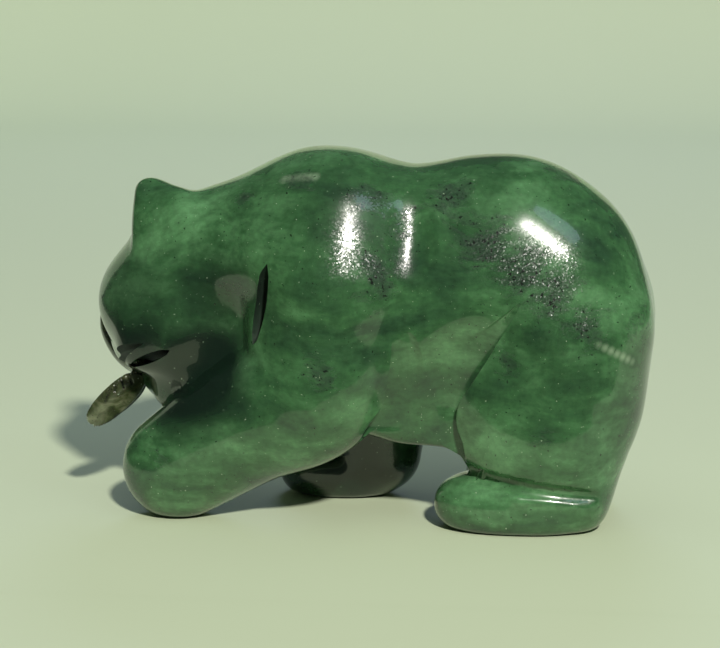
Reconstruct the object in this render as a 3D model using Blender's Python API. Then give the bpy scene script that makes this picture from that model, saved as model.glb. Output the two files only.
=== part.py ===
"""A jade bear that carries a jade fish in its mouth.

Metres, +Z up. The bear walks towards -X with its left side towards -Y, and it
stands on four flat soles at Z = 0. Bear and fish are two pieces of stone.

Each figure is carved the way a sculptor builds one up: plain masses (balls and
tapered limbs) are joined, hollows are cut, and a finishing pass draws the
surface over all of them, with a soft blend where flesh runs together and a
tight one where the carver left a crisp line.
"""

import math

import bmesh
import bpy
import numpy as np
from mathutils import Matrix, Vector

# Driving dimensions, in metres
BEAR_LENGTH = 0.127  # from the brow to the rump
FISH_GRIP_CLEARANCE = 0.0003  # between the fish and the mouth that holds it
SOLE_SHAVE = 0.0001  # taken off the soles to leave them dead flat
BEAR_FACETS = 7500
FISH_FACETS = 1100

# The pose below is given in parts of the bear's length, 127 of them from end to end
UNIT = BEAR_LENGTH / 127.0

# How finely the masses are drawn together, first for the hollows, then for the surface
ROUGH_GRAIN = 1.5
BEAR_GRAIN = 0.9
FISH_GRAIN = 0.55

JADE_GREEN = (0.040, 0.125, 0.048, 1.0)
FISH_OLIVE = (0.060, 0.080, 0.030, 1.0)

# The turned head: yaw away from the walking line, nose dropped, left ear raised
HEAD_CENTRE = (-46.1, 3.0, 48.4)
HEAD_YAW = 40.0
HEAD_PITCH = 29.0
HEAD_ROLL = 15.0

# Cut details, in parts of the bear's length
MOUTH_CORNER = (1.5, 0.0, -13.5)  # on the head
EAR_CUP = (2.6, 1.2, 4.0)  # half width, half depth, half height
CLEFT_BLADE = (12.0, 7.0, 2.0)  # half length, half depth, half thickness
SADDLE_WHEEL = 7.0  # radius of the straight furrow behind the shoulder
CREASE_WHEEL = 2.2  # radius of the crease over the near foot

# Ground hollows in the near flank, in rows of the foot of the wall, how far it is
# sunk, and the place where the hollow runs out; the wall is drawn out along HOLLOW_WAY
HOLLOW_WAY = (0.104, -0.973, 0.208)
HOLLOW_BULGE = 0.25
THIGH_HOLLOW = (
    ((34.6, -24.2, 55.0), -0.3, (33.8, -24.3, 54.4)),
    ((31.5, -23.0, 49.0), 0.6, (27.6, -22.5, 49.0)),
    ((28.9, -21.4, 44.6), 0.8, (23.0, -21.3, 46.2)),
    ((27.2, -20.2, 41.4), 0.9, (19.7, -20.5, 43.9)),
    ((24.9, -18.8, 37.5), 0.9, (17.0, -19.5, 40.9)),
    ((22.6, -17.5, 33.6), 0.9, (15.4, -18.1, 37.2)),
    ((20.0, -16.1, 28.5), 0.9, (13.4, -16.5, 31.3)),
    ((19.7, -15.9, 26.0), 0.9, (12.8, -16.1, 28.3)),
    ((20.0, -15.6, 23.0), 0.9, (12.3, -15.8, 25.0)),
    ((21.0, -15.3, 20.5), 0.9, (12.0, -15.5, 21.5)),
    ((22.0, -15.0, 15.0), 0.9, (12.0, -15.0, 15.5)),
)
ELBOW_HOLLOW = (
    ((6.0, -22.6, 47.0), -0.3, (10.0, -22.7, 47.0)),
    ((5.8, -21.9, 43.3), 0.3, (11.5, -22.0, 43.5)),
    ((5.2, -21.2, 37.9), 1.0, (12.6, -19.4, 38.5)),
    ((3.7, -18.7, 30.4), 1.6, (12.3, -16.9, 31.5)),
    ((2.6, -17.7, 27.6), 1.8, (12.0, -16.2, 28.0)),
    ((-0.3, -16.2, 23.3), 1.5, (11.5, -15.5, 24.0)),
    ((-2.1, -16.9, 20.0), 1.5, (11.0, -15.0, 19.0)),
)


def head_axes():
    """Forward, left and up of the head, for a bear that faces -X at rest."""
    yaw = math.radians(HEAD_YAW)
    pitch = math.radians(HEAD_PITCH)
    roll = math.radians(HEAD_ROLL)
    forward = Vector(
        (
            -math.cos(pitch) * math.cos(yaw),
            math.cos(pitch) * math.sin(yaw),
            -math.sin(pitch),
        )
    )
    level_left = Vector((-math.sin(yaw), -math.cos(yaw), 0.0))
    level_up = forward.cross(level_left)
    left = level_left * math.cos(roll) + level_up * math.sin(roll)
    return forward, left, forward.cross(left)


FORWARD, LEFT, UP = head_axes()


def on_head(forward, left, up):
    """A place given along the head's own axes, from the middle of the skull."""
    place = Vector(HEAD_CENTRE) + FORWARD * forward + LEFT * left + UP * up
    return tuple(place)


# Masses: each is a distance function, negative inside, and a rough body to start from


def ball(centre, radii, power=2.0, axes=None):
    """An ellipsoid, or with a higher power a squarer one, turned to the given axes."""
    return {
        "kind": "ball",
        "middle": np.array(centre, float),
        "reach": max(radii) * 1.2,
        "centre": np.array(centre, float),
        "radii": np.array(radii, float),
        "power": power,
        "axes": np.array(axes if axes else Matrix.Identity(3), float),
    }


def smooth_line(stations, spacing=1.2):
    """A smooth curve through stations of (x, y, z, radius), as closely spaced ones."""
    stations = np.array(stations, float)
    before_first = 2 * stations[0] - stations[1]
    after_last = 2 * stations[-1] - stations[-2]
    known = np.vstack((before_first, stations, after_last))
    line = []
    for index in range(len(stations) - 1):
        before, start, end, after = known[index : index + 4]
        steps = max(3, round(np.linalg.norm(end[:3] - start[:3]) / spacing))
        for t in np.arange(steps) / steps:
            bend = 2 * before - 5 * start + 4 * end - after
            twist = 3 * start - before - 3 * end + after
            line.append(0.5 * (2 * start + (end - before) * t + bend * t**2 + twist * t**3))
    line.append(stations[-1])
    return np.array(line)


def limb(stations, flat=1.0, axes=None):
    """Balls strung along a line of (x, y, z, radius), narrowed by flat along the second axis."""
    line = smooth_line(stations)
    middle = line[:, :3].mean(axis=0)
    return {
        "kind": "limb",
        "middle": middle,
        "reach": np.max(np.linalg.norm(line[:, :3] - middle, axis=1) + line[:, 3]),
        "stations": line,
        "flat": flat,
        "axes": np.array(axes if axes else Matrix.Identity(3), float),
    }


def wedge(corner, first, second):
    """The space between two planes that meet at a corner; the normals point out of it."""
    return {
        "kind": "wedge",
        "corner": np.array(corner, float),
        "normals": np.array([first, second], float),
    }


def ground(height):
    """Everything below a height."""
    return {"kind": "ground", "height": height}


def ball_distance(points, mass):
    local = (points - mass["centre"]) @ mass["axes"].T
    power = mass["power"]
    ratio = np.abs(local / mass["radii"]) + 1e-9
    reach = np.sum(ratio**power, axis=1) ** (1.0 / power)
    slope = ratio ** (power - 1.0) / mass["radii"]
    slope = np.linalg.norm(slope, axis=1) * reach ** (1.0 - power)
    return (reach - 1.0) / slope


def limb_distance(points, mass):
    """The least distance to any ball along the limb, read off a parabola between balls."""
    shrink = np.array([1.0, 1.0 / mass["flat"], 1.0])
    local = (points @ mass["axes"].T) * shrink
    stations = mass["stations"]
    places = (stations[:, :3] @ mass["axes"].T) * shrink
    reach = np.empty((len(stations), len(points)))
    for index, place in enumerate(places):
        away = local - place
        reach[index] = np.sqrt(np.einsum("ij,ij->i", away, away)) - stations[index, 3]
    everyone = np.arange(len(points))
    best = np.clip(np.argmin(reach, axis=0), 1, len(stations) - 2)
    before, here, after = (reach[best + step, everyone] for step in (-1, 0, 1))
    bend = np.maximum(before - 2.0 * here + after, 1e-9)
    shift = np.clip((before - after) / (2.0 * bend), -1.0, 1.0)
    distance = here + 0.5 * shift * (after - before) + 0.5 * shift * shift * bend
    nearest = places[best] + shift[:, None] * (places[best + 1] - places[best - 1]) / 2.0
    away = local - nearest
    steepness = np.linalg.norm(away * shrink, axis=1) / (np.linalg.norm(away, axis=1) + 1e-9)
    return distance / steepness


def wedge_distance(points, mass):
    return np.max((points - mass["corner"]) @ mass["normals"].T, axis=1)


def ground_distance(points, mass):
    return points[:, 2] - mass["height"]


DISTANCES = {
    "ball": ball_distance,
    "limb": limb_distance,
    "wedge": wedge_distance,
    "ground": ground_distance,
}


def distance_to(points, mass):
    """The distance to a mass, worked out only for the points that are near it."""
    measure = DISTANCES[mass["kind"]]
    if "middle" not in mass:
        return measure(points, mass)
    away = np.linalg.norm(points - mass["middle"], axis=1) - mass["reach"]
    near = away < 12.0
    distance = np.maximum(away, 12.0)
    if near.any():
        distance[near] = measure(points[near], mass)
    return distance


def joined(first, second, soft):
    """The union of two distances with a fillet of about the given size."""
    overlap = np.maximum(soft - np.abs(first - second), 0.0)
    return np.minimum(first, second) - overlap * overlap / (4.0 * soft)


def blend_size(points, blend):
    """A fixed blend, or one that grows from crisp to soft along a direction."""
    if np.isscalar(blend):
        return blend
    crisp, soft, direction, start, end = blend
    along = np.clip((points @ np.array(direction, float) - start) / (end - start), 0.0, 1.0)
    return crisp + (soft - crisp) * along * along * (3.0 - 2.0 * along)


def figure_distance(points, figure):
    """How far each point lies outside the finished figure."""
    total = None
    for action, mass, blend in figure:
        distance = distance_to(points, mass)
        soft = blend_size(points, blend)
        if total is None:
            total = distance
        elif action == "add":
            total = joined(total, distance, soft)
        else:
            total = -joined(-total, distance, soft)
    return total


# The bear


def lean_blend(crisp, soft, direction, start, end):
    return (crisp, soft, direction, start, end)


def trunk():
    """Haunches, barrel and shoulders, cut away along the belly and the flanks."""
    masses = [
        ("add", ball((27.0, 0.0, 44.0), (35.9, 25.0, 39.2), 2.15), 0.0),
        ("add", ball((4.0, 0.0, 49.0), (34.0, 21.5, 31.6), 2.5), 3.0),
        (
            "add",
            ball((-9.5, 0.0, 52.0), (24.5, 24.0, 32.2), 2.2),
            lean_blend(3.0, 5.0, (0, 0, 1), 60.0, 80.0),
        ),
        ("cut", ball((10.0, 0.0, -4.0), (60.0, 40.0, 23.2), 2.6), 4.0),
    ]
    for side in (-1, 1):
        flank = [(8, 34 * side, 12, 21), (18, 35.5 * side, 30, 19), (29, 39.5 * side, 47, 16.5)]
        masses.append(("cut", limb(flank), 2.5))
    return masses


def neck():
    """Nape, throat, and the flat near side of the cheek and muzzle."""
    throat_hollow = [
        (-22.5, -27.5, 60, 6),
        (-27, -24.5, 52.5, 9),
        (-32, -23, 44, 10),
        (-38, -22, 36, 9),
    ]
    return [
        (
            "add",
            limb([(-14, 0, 60.2, 20), (-30, 1.5, 57.2, 19.3), (-39, 3, 54.8, 17.8)], 0.9),
            8.0,
        ),
        ("add", limb([(-24, 0.5, 43, 16.5), (-38, 1, 38, 13)]), 6.0),
        ("add", ball((-38, 0.5, 40.5), (13.5, 14.5, 13.5), 2.6), 4.0),
        ("add", ball((-50, 0.5, 41), (8.5, 13, 8.5), 3), 3.0),
        ("cut", limb(throat_hollow), 4.0),
    ]


def head():
    """Skull, brow, muzzle and lower jaw."""
    return [
        ("add", ball(on_head(0, 0, 0), (16.5, 16.5, 16.5)), 6.0),
        ("add", limb([(*on_head(-1, -3, -15), 7), (*on_head(11, 0, -15.4), 3.8)]), 3.0),
        ("add", ball(on_head(5, 3.5, 1), (12.5, 12.5, 12.5)), 3.0),
        ("add", ball(on_head(5, -3.5, 1), (12.5, 12.5, 12.5)), 3.0),
        ("add", limb([(*on_head(5, 0, -2), 11.5), (*on_head(14, 0, -4.5), 8.5)]), 3.0),
    ]


def mouth():
    """The open mouth, a wedge between the upper lip and the lower jaw."""
    corner = Vector(on_head(*MOUTH_CORNER))
    edge = (Vector(on_head(-1.0, 8.0, -13.5)) - corner).normalized()
    lip = Vector(on_head(15.2, 0, -10.2)) - corner
    jaw = Vector(on_head(10.5, 0, -15.0)) - corner
    return wedge(corner, lip.cross(edge).normalized(), edge.cross(jaw).normalized())


def ear(side):
    """A broad paddle that stands on the skull, cupped in front, its back drawn to the nape."""
    root = on_head(-6.8, side * 8.0, 8.2)
    tip = on_head(-9.2, side * 10.6, 20.6)
    axes = (LEFT, FORWARD, UP)
    return [
        ("add", limb([(*root, 7.2), (*tip, 4.1)], 0.6, axes), 1.2),
        ("add", ball(on_head(-11.0, side * 8.2, 13.4), (5.0, 8.0, 8.6), 2.0, axes), 5.0),
        ("cut", ball(on_head(-5.4, side * 10.2, 18.6), EAR_CUP, 2.0, axes), 0.8),
    ]


def cleft():
    """A blade that leaves a leaf-shaped groove between the neck and the near shoulder."""
    axes = axes_towards((-5.6, 0, -19.4), (0.45, 1, 0))
    return ball((-25.2, -24.0, 50.6), CLEFT_BLADE, 2.0, axes)


def legs():
    shoulder_blend = lean_blend(1.0, 10.0, (0, 0, 1), 46.0, 60.0)
    hip_blend = lean_blend(0.8, 9.0, (1, 0, 1), 74.0, 88.0)
    heel_blend = lean_blend(1.0, 7.0, (1, 0, 0), 42.0, 54.0)
    near_fore = [
        (-10, -10.5, 52, 18.5),
        (-12.5, -12.6, 33, 17),
        (-28, -11.3, 23.2, 14.8),
        (-44.5, -9.3, 11.6, 12.7),
    ]
    upper_arm = [(-10, -13.4, 48, 13), (-9.5, -13.6, 39, 13), (-12, -13, 33, 12.5)]
    shoulder_plane = [(-7.3, -5.8, 67.6, 16), (-7.5, -11.6, 54.5, 16)]
    thigh_front = [(39, -12.5, 45, 12.5), (32.5, -12.3, 33, 13), (31, -11.8, 23, 11.5)]
    haunch_plane = [(31.9, -3.0, 63.8, 18), (40.1, -4.2, 58.3, 18)]
    foot_ledge = [(34.2, -18.3, 9.5, 2.5), (49, -15.8, 7.3, 2.5)]
    far_fore = [(-6, 12, 48, 17.5), (-2, 12.5, 26, 14), (0, 10.8, 11, 10)]
    near_hind = [(46, -11, 46, 15), (37.5, -11.5, 27, 16.5), (40.2, -10.5, 12, 14.2)]
    far_hind = [(48, 11, 46, 14), (41, 11.5, 27, 15), (41, 11, 10, 13.5)]
    return [
        ("add", limb(near_fore, 0.76), shoulder_blend),
        ("add", ball((-4.5, -12, 35.5), (8.5, 11.4, 13.0), 2.4), shoulder_blend),
        ("add", limb(upper_arm), 3.0),
        ("add", limb(shoulder_plane), 3.0),
        ("add", limb(far_fore, 0.78), shoulder_blend),
        ("add", ball((-9.5, 12.5, 5.5), (14.2, 8.0, 7.6), 2.2), 2.0),
        ("add", limb(near_hind, 0.72), hip_blend),
        ("add", limb(thigh_front, 0.8), 4.0),
        ("add", ball((43, -9, 27), (16.8, 13, 20)), 7.0),
        ("add", limb(haunch_plane), 4.0),
        ("add", ball((33.3, -11.5, 5.6), (18.5, 9.6, 8.0), 2.4), heel_blend),
        ("add", limb(foot_ledge), 2.0),
        ("add", limb(far_hind, 0.72), hip_blend),
        ("add", ball((43, 9, 31), (17.5, 13, 20)), 7.0),
        ("add", ball((37, 11.5, 5.6), (16.5, 9.2, 8.0), 2.4), heel_blend),
    ]


def furrows():
    """A straight stroke behind the near shoulder, and the crease over the near foot."""
    saddle = [
        (10.6, -19.4, 80.8, SADDLE_WHEEL),
        (10.6, -23.7, 71.8, SADDLE_WHEEL),
        (10.6, -28.0, 62.9, SADDLE_WHEEL),
    ]
    crease = [
        (22.4, -14.9, 14.2, 0.75 * CREASE_WHEEL),
        (29.5, -20.2, 12.8, CREASE_WHEEL),
        (40, -21.9, 11.1, CREASE_WHEEL),
        (51, -19.8, 9.6, 0.8 * CREASE_WHEEL),
    ]
    return [("cut", limb(saddle), 1.0), ("cut", limb(crease), 0.4)]


def bear_figure():
    figure = trunk() + neck() + legs() + furrows()
    figure += head() + ear(1) + ear(-1)
    figure.append(("cut", ground(0.0), 1.6))
    return figure


# The fish

FISH_SPINE = (
    (-58.6, 2.2, 30.2, 1.9),
    (-55.6, 6.6, 31.2, 2.5),
    (-58.0, 12.4, 30.9, 3.1),
    (-62.2, 16.6, 33.2, 3.5),
    (-64.9, 19.0, 38.2, 3.8),
    (-64.3, 20.5, 43.5, 3.7),
    (-62.2, 21.5, 47.8, 3.2),
    (-59.6, 22.3, 51.4, 2.0),
)


def fish_figure():
    """A curved salmon: flat-sided body, forked tail, back fin, belly fin and side fin."""
    flat_sides = ((0, 1, 0), (1, 0, 0), (0, 0, 1))
    figure = [("add", limb(FISH_SPINE, 0.85, flat_sides), 0.0)]
    fins = (
        # middle, half length, half thickness and half height, long way, way it faces
        ((-59.6, -1.0, 24.6), (8.8, 1.2, 3.9), (-12.4, -3.0, -11.8), (0.35, -0.9, -0.2)),
        ((-58.6, 1.4, 24.0), (7.2, 1.1, 3.2), (-9.4, -1.0, -12.4), (0.45, -0.85, -0.2)),
        ((-64.2, 24.2, 40.0), (4.6, 0.6, 2.6), (0.6, 0.8, 3.0), (1.0, 0.3, 0.0)),
        ((-58.6, 15.5, 28.0), (2.8, 0.6, 1.8), (-1.0, 1.6, 0.2), (0.8, 0.5, 0.3)),
        ((-62.6, 17.6, 43.0), (2.4, 0.6, 1.5), (0.4, -1.4, -2.0), (1.0, 0.2, 0.1)),
    )
    for middle, size, long_way, facing in fins:
        figure.append(("add", ball(middle, size, 2.2, axes_towards(long_way, facing)), 0.7))
    return figure


def axes_towards(long_way, face_way):
    """Axes along a direction, with the second one as near as can be to the way it faces."""
    first = Vector(long_way).normalized()
    third = first.cross(Vector(face_way)).normalized()
    return (first, third.cross(first), third)


# From masses to a mesh


def rough_ball(mesh, mass):
    """A ball's surface as a sphere whose points are drawn out to it."""
    made = bmesh.ops.create_icosphere(mesh, subdivisions=4, radius=1.0)
    for vert in made["verts"]:
        way = np.array(vert.co)
        reach = np.sum(np.abs(way / mass["radii"]) ** mass["power"]) ** (1.0 / mass["power"])
        vert.co = Vector(mass["centre"] + (way / reach) @ mass["axes"])


def rough_limb(mesh, mass):
    """A limb as the row of balls it is strung from."""
    turn = Matrix(mass["axes"].tolist()).transposed().to_4x4()
    for station in mass["stations"]:
        radius = station[3]
        size = Matrix.Diagonal((radius, radius * mass["flat"], radius, 1.0))
        place = Matrix.Translation(Vector(station[:3]))
        bmesh.ops.create_icosphere(mesh, subdivisions=3, radius=1.0, matrix=place @ turn @ size)


def rough_wedge(mesh, mass):
    """A three-sided prism, long enough to pass right through the muzzle."""
    size = 30.0
    normals = [Vector(normal) for normal in mass["normals"]]
    edge = normals[0].cross(normals[1]).normalized()
    ways = []
    for own, other in (normals, normals[::-1]):
        way = edge.cross(own).normalized()
        ways.append(-way if way.dot(other) > 0.0 else way)
    corner = Vector(mass["corner"])
    ends = []
    for side in (-size / 2.0, size / 2.0):
        points = (corner, corner + ways[0] * size, corner + ways[1] * size)
        ends.append([mesh.verts.new(point + edge * side) for point in points])
    for index in range(3):
        after = (index + 1) % 3
        mesh.faces.new((ends[0][index], ends[0][after], ends[1][after], ends[1][index]))
    mesh.faces.new(ends[0][::-1])
    mesh.faces.new(ends[1])
    bmesh.ops.recalc_face_normals(mesh, faces=mesh.faces[:])


def rough_ground(mesh, mass):
    size = 200.0
    place = Matrix.Translation((0.0, 0.0, mass["height"] - size / 2.0))
    bmesh.ops.create_cube(mesh, size=size, matrix=place)


ROUGH_SHAPES = {
    "ball": rough_ball,
    "limb": rough_limb,
    "wedge": rough_wedge,
    "ground": rough_ground,
}


def mesh_object(name, mesh):
    data = bpy.data.meshes.new(name)
    mesh.to_mesh(data)
    mesh.free()
    made = bpy.data.objects.new(name, data)
    bpy.context.scene.collection.objects.link(made)
    return made


def run_modifier(thing, kind, **settings):
    """Put one modifier on an object and keep its result as the object's mesh."""
    modifier = thing.modifiers.new(kind.title(), kind)
    for name, value in settings.items():
        setattr(modifier, name, value)
    view = bpy.context.evaluated_depsgraph_get()
    data = bpy.data.meshes.new_from_object(thing.evaluated_get(view))
    thing.modifiers.remove(modifier)
    old = thing.data
    thing.data = data
    bpy.data.meshes.remove(old)


def cut_out(thing, cutter):
    """Take a cutter away from an object, and drop the cutter."""
    run_modifier(thing, "BOOLEAN", operation="DIFFERENCE", solver="EXACT", object=cutter)
    drop(cutter)


def drop(thing):
    data = thing.data
    bpy.data.objects.remove(thing)
    bpy.data.meshes.remove(data)


def one_skin(thing, grain):
    run_modifier(thing, "REMESH", mode="VOXEL", voxel_size=grain)


def rough_body(name, figure, grain):
    """The masses drawn together in one even skin, with the hollows cut in their turn."""
    mesh = bmesh.new()
    for action, mass, _ in figure:
        if action == "add":
            ROUGH_SHAPES[mass["kind"]](mesh, mass)
            continue
        body = mesh_object(name, mesh)
        one_skin(body, ROUGH_GRAIN)
        hollow = bmesh.new()
        ROUGH_SHAPES[mass["kind"]](hollow, mass)
        cutter = mesh_object("Hollow", hollow)
        if mass["kind"] == "limb":
            one_skin(cutter, ROUGH_GRAIN)
        cut_out(body, cutter)
        mesh = bmesh.new()
        mesh.from_mesh(body.data)
        drop(body)
    body = mesh_object(name, mesh)
    one_skin(body, grain)
    return body


def settle(points, figure, rounds):
    """Move points down the slope of the distance until they lie on the figure."""
    probe = 0.01
    for _ in range(rounds):
        here = figure_distance(points, figure)
        slope = np.empty_like(points)
        for axis in range(3):
            aside = points.copy()
            aside[:, axis] += probe
            slope[:, axis] = (figure_distance(aside, figure) - here) / probe
        steepness = np.maximum(np.sum(slope * slope, axis=1), 0.2)
        step = slope * (here / steepness)[:, None]
        length = np.linalg.norm(step, axis=1)
        step *= np.minimum(1.0, 1.5 / np.maximum(length, 1e-9))[:, None]
        points -= step
    return slope / np.maximum(np.linalg.norm(slope, axis=1), 1e-9)[:, None]


def even_out(points, edges, normals):
    """Slide points along the surface towards the middle of their neighbours."""
    count = np.bincount(edges.ravel(), minlength=len(points)).astype(float)
    move = np.empty_like(points)
    for axis in range(3):
        total = np.bincount(edges[:, 0], points[edges[:, 1], axis], len(points))
        total += np.bincount(edges[:, 1], points[edges[:, 0], axis], len(points))
        move[:, axis] = total / count - points[:, axis]
    move -= normals * np.sum(move * normals, axis=1)[:, None]
    points += 0.5 * move


def draw_surface(body, figure):
    """Draw the even skin onto the blended figure."""
    data = body.data
    points = np.empty(len(data.vertices) * 3)
    data.vertices.foreach_get("co", points)
    points = points.reshape(-1, 3)
    ends = np.empty(len(data.edges) * 2, np.int32)
    data.edges.foreach_get("vertices", ends)
    edges = ends.reshape(-1, 2)
    normals = settle(points, figure, 5)
    for _ in range(3):
        even_out(points, edges, normals)
        normals = settle(points, figure, 2)
    data.vertices.foreach_set("co", points.ravel())
    data.update()


def choose_facets(body, facets):
    """Thin the even skin out to about the wanted number of triangles."""
    count = 2 * len(body.data.polygons)
    run_modifier(body, "DECIMATE", ratio=min(1.0, facets / count), use_collapse_triangulate=True)


def carved(name, figure, grain, facets):
    body = rough_body(name, figure, grain)
    draw_surface(body, figure)
    choose_facets(body, facets)
    return body


def shave_soles(bear):
    """Cut the soles dead flat at one height."""
    mesh = bmesh.new()
    mesh.from_mesh(bear.data)
    everything = mesh.verts[:] + mesh.edges[:] + mesh.faces[:]
    cut = bmesh.ops.bisect_plane(
        mesh,
        geom=everything,
        plane_co=(0.0, 0.0, SOLE_SHAVE / UNIT),
        plane_no=(0.0, 0.0, 1.0),
        clear_inner=True,
    )
    rim = [item for item in cut["geom_cut"] if isinstance(item, bmesh.types.BMEdge)]
    bmesh.ops.holes_fill(mesh, edges=rim, sides=0)
    mesh.to_mesh(bear.data)
    mesh.free()


def hollow_block(rows):
    """A sheet from the foot of a wall to beyond where it leaves the stone, drawn out to a block."""
    mesh = bmesh.new()
    sheet = []
    for foot, depth, end in rows:
        base = Vector(foot) + Vector((0.0, depth, 0.0))
        middle = (base + Vector(end)) / 2.0 + Vector((0.0, HOLLOW_BULGE, 0.0))
        beyond = Vector(end) + (Vector(end) - Vector(foot)) * 0.7 + Vector((0.0, -2.5, 0.0))
        sheet.append([mesh.verts.new(place) for place in (base, middle, Vector(end), beyond)])
    outer = [[mesh.verts.new(v.co + Vector(HOLLOW_WAY) * 45.0) for v in line] for line in sheet]
    rows_count, line_count = len(sheet), len(sheet[0])
    for i in range(rows_count - 1):
        for j in range(line_count - 1):
            for grid in (sheet, outer):
                mesh.faces.new((grid[i][j], grid[i + 1][j], grid[i + 1][j + 1], grid[i][j + 1]))
        for j in (0, line_count - 1):
            mesh.faces.new((sheet[i][j], sheet[i + 1][j], outer[i + 1][j], outer[i][j]))
    for j in range(line_count - 1):
        for i in (0, rows_count - 1):
            mesh.faces.new((sheet[i][j], sheet[i][j + 1], outer[i][j + 1], outer[i][j]))
    bmesh.ops.triangulate(mesh, faces=mesh.faces[:])
    bmesh.ops.recalc_face_normals(mesh, faces=mesh.faces[:])
    if mesh.calc_volume(signed=True) < 0.0:
        bmesh.ops.reverse_faces(mesh, faces=mesh.faces[:])
    return mesh


def carve_lines(bear):
    """Cut what the carver left sharp: the mouth, the groove behind the cheek and the flank."""
    for name, mass in (("Mouth", mouth()), ("Cleft", cleft())):
        cutter = bmesh.new()
        ROUGH_SHAPES[mass["kind"]](cutter, mass)
        cut_out(bear, mesh_object(name, cutter))
    for name, rows in (("Thigh", THIGH_HOLLOW), ("Elbow", ELBOW_HOLLOW)):
        cut_out(bear, mesh_object(name, hollow_block(rows)))


def notch_mouth(bear, fish):
    """Cut the fish's own shape, with its clearance, out of the bear."""
    cutter = fish.copy()
    cutter.data = fish.data.copy()
    bpy.context.scene.collection.objects.link(cutter)
    run_modifier(cutter, "DISPLACE", strength=FISH_GRIP_CLEARANCE / UNIT * 1.3, mid_level=0.0)
    cut_out(bear, cutter)


def to_real_size(things):
    """Scale the figures to metres and stand them on Z = 0 with their box about the origin."""
    corners = np.array([vert.co for thing in things for vert in thing.data.vertices])
    low, high = corners.min(axis=0), corners.max(axis=0)
    middle = (low + high) / 2.0
    move = Matrix.Translation((-middle[0], -middle[1], -low[2]))
    for thing in things:
        thing.data.transform(Matrix.Scale(UNIT, 4) @ move)


def stone(name, colour, roughness):
    material = bpy.data.materials.new(name)
    material.use_nodes = True
    shader = material.node_tree.nodes["Principled BSDF"]
    shader.inputs["Base Color"].default_value = colour
    shader.inputs["Roughness"].default_value = roughness
    shader.inputs["Metallic"].default_value = 0.0
    return material


def finish(thing, material):
    thing.data.materials.append(material)
    thing.data.shade_smooth()
    thing.data.set_sharp_from_angle(angle=math.radians(40.0))


def main():
    for thing in list(bpy.data.objects):
        bpy.data.objects.remove(thing)
    fish = carved("fish", fish_figure(), FISH_GRAIN, FISH_FACETS)
    bear = carved("bear", bear_figure(), BEAR_GRAIN, BEAR_FACETS)
    shave_soles(bear)
    carve_lines(bear)
    notch_mouth(bear, fish)
    to_real_size((bear, fish))
    finish(bear, stone("Green jade", JADE_GREEN, 0.18))
    finish(fish, stone("Olive jade", FISH_OLIVE, 0.2))


main()
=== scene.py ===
import math

import bmesh
import bpy
import numpy as np
from mathutils import Matrix, Vector


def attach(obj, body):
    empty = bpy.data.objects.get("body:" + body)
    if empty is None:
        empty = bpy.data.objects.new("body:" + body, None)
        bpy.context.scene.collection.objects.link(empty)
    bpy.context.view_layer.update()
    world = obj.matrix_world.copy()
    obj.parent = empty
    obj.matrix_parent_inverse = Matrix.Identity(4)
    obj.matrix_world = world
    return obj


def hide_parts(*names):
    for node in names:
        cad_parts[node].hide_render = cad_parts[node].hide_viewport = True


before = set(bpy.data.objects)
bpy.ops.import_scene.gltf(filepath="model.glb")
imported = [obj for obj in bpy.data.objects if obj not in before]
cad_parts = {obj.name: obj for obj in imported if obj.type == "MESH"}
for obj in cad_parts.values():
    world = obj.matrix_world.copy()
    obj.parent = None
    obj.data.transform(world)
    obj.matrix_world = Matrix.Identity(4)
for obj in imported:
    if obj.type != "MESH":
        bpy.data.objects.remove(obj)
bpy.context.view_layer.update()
print("stage: frame loaded")

# All carving below is in millimetres of a bear 127 mm long; realUnit turns it to metres.
realUnit = 0.001


# Small tools

def toLinear(hexColour):  # sRGB hex to the linear colour that a shader takes
    parts = [int(hexColour[i:i + 2], 16) / 255 for i in (1, 3, 5)]
    return tuple(p / 12.92 if p <= 0.04045 else ((p + 0.055) / 1.055) ** 2.4 for p in parts) + (1.0,)


def addNode(tree, kind, sockets=None, **settings):
    # sockets takes a value, another node or one of its outputs for each named or numbered input
    node = tree.nodes.new(kind)
    for name, value in settings.items():
        setattr(node, name, value)
    for key, value in (sockets or {}).items():
        if isinstance(value, bpy.types.Node):
            value = value.outputs[0]
        if isinstance(value, bpy.types.NodeSocket):
            tree.links.new(value, node.inputs[key])
        else:
            node.inputs[key].default_value = value
    return node


def meshObject(name, mesh):
    data = bpy.data.meshes.new(name)
    mesh.to_mesh(data)
    mesh.free()
    made = bpy.data.objects.new(name, data)
    bpy.context.scene.collection.objects.link(made)
    return made


def drop(thing):
    data = thing.data
    bpy.data.objects.remove(thing)
    bpy.data.meshes.remove(data)


def keepModifier(thing, kind, **settings):  # adds one modifier and keeps its result
    modifier = thing.modifiers.new(kind.title(), kind)
    for name, value in settings.items():
        setattr(modifier, name, value)
    view = bpy.context.evaluated_depsgraph_get()
    data = bpy.data.meshes.new_from_object(thing.evaluated_get(view))
    thing.modifiers.remove(modifier)
    old = thing.data
    thing.data = data
    bpy.data.meshes.remove(old)


def oneSkin(thing, grain):
    keepModifier(thing, "REMESH", mode="VOXEL", voxel_size=grain)


polished, wheelCutAndShade = 0, 1  # numbers of the stone's finishes on the bear; the wheel-cut finish is matt and darkened as painted shade


def cutOut(thing, cutter, finish=polished):  # the cut faces take this finish
    for _ in thing.data.materials:
        cutter.data.materials.append(None)
    cutter.data.polygons.foreach_set("material_index", [finish] * len(cutter.data.polygons))
    keepModifier(thing, "BOOLEAN", operation="DIFFERENCE", solver="EXACT", object=cutter)
    drop(cutter)


def axesTowards(longWay, faceWay):  # first axis along longWay, second as near faceWay as can be
    first = Vector(longWay).normalized()
    third = first.cross(Vector(faceWay)).normalized()
    return (first, third.cross(first), third)


# Masses of stone: each one is a distance, negative inside, and a rough body to start from

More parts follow.
